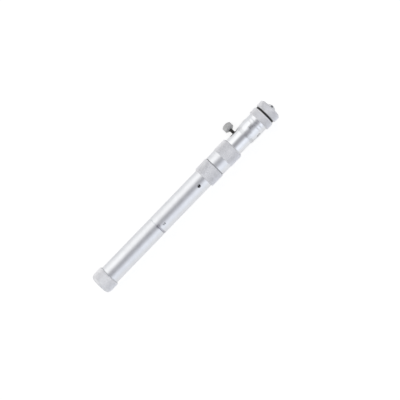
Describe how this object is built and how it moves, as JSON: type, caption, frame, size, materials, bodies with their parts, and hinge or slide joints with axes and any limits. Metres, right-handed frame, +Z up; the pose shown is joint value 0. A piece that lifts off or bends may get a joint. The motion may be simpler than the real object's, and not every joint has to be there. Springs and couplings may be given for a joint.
{
  "type": "tubular inside micrometer",
  "caption": "Slim tubular inside micrometer: knurled screw head with a clamp screw, flush extension pipes and a closed end cap; measures bores and gaps between its two tips.",
  "frame": {"origin": "centre of the end cap's flat face, on the measuring axis", "axes": "+X along the measuring axis towards the spindle contact, +Z up with the instrument lying on its side"},
  "size_m": [0.1515, 0.0208, 0.0148],
  "materials": {
    "polished_steel": "polished",
    "satin_chrome": "satin",
    "hardened_steel": "ground",
    "spring_steel": "blued",
    "carbide": "lapped",
    "black_oxide": "blackened",
    "brass": "turned",
    "bronze": "turned"
  },
  "bodies": {
    "head": {"head_body": "satin_chrome", "head_anvil": "hardened_steel", "spindle_nut": "hardened_steel", "wear_adjusting_nut": "hardened_steel", "graduated_sleeve": "polished_steel"},
    "front_extension": {"front_pipe": "polished_steel", "coupling_collar": "satin_chrome", "front_bush_back": "bronze", "front_bush_front": "bronze", "front_gauge_rod": "hardened_steel", "front_disc_spring": "spring_steel"},
    "rear_extension": {"rear_pipe": "polished_steel", "rear_bush_back": "bronze", "rear_bush_front": "bronze", "rear_gauge_rod": "hardened_steel", "rear_contact_tip": "carbide", "rear_disc_spring": "spring_steel"},
    "cap": {"end_cap": "satin_chrome"},
    "contact": {"spindle_contact_tip": "carbide"},
    "thimble_group": {"spindle": "hardened_steel", "thimble": "polished_steel", "lock_washer": "black_oxide", "thimble_lock_nut": "satin_chrome"},
    "shoe": {"clamp_shoe": "brass"},
    "clamp_knob": {"clamp_screw": "black_oxide", "clamp_screw_head": "satin_chrome"}
  },
  "joints": [
    {"name": "front_extension_off", "type": "slide", "parent": "head", "child": "front_extension", "axis": [-1, 0, 0], "range_m": [0, 0.01]},
    {"name": "rear_extension_off", "type": "slide", "parent": "front_extension", "child": "rear_extension", "axis": [-1, 0, 0], "range_m": [0, 0.01]},
    {"name": "cap_off", "type": "slide", "parent": "rear_extension", "child": "cap", "axis": [-1, 0, 0], "range_m": [0, 0.01]},
    {"name": "spindle_feed", "type": "slide", "parent": "head", "child": "contact", "axis": [1, 0, 0], "range_m": [0, 0.013]},
    {"name": "thimble_turn", "type": "hinge", "parent": "contact", "child": "thimble_group", "pos_m": [0.1388, 0, 0], "axis": [1, 0, 0], "range_deg": [0, 9360]},
    {"name": "clamp_feed", "type": "slide", "parent": "head", "child": "shoe", "axis": [0, -0.9392, 0.3434], "range_m": [0, 0.0004]},
    {"name": "clamp_turn", "type": "hinge", "parent": "shoe", "child": "clamp_knob", "pos_m": [0.12329, 0, 0], "axis": [0, -0.9392, 0.3434], "range_deg": [0, 360]}
  ],
  "couplings": [
    {"joint": "thimble_turn", "follows": "spindle_feed", "rad_per_m": 12566},
    {"joint": "clamp_turn", "follows": "clamp_feed", "rad_per_m": 15708}
  ]
}
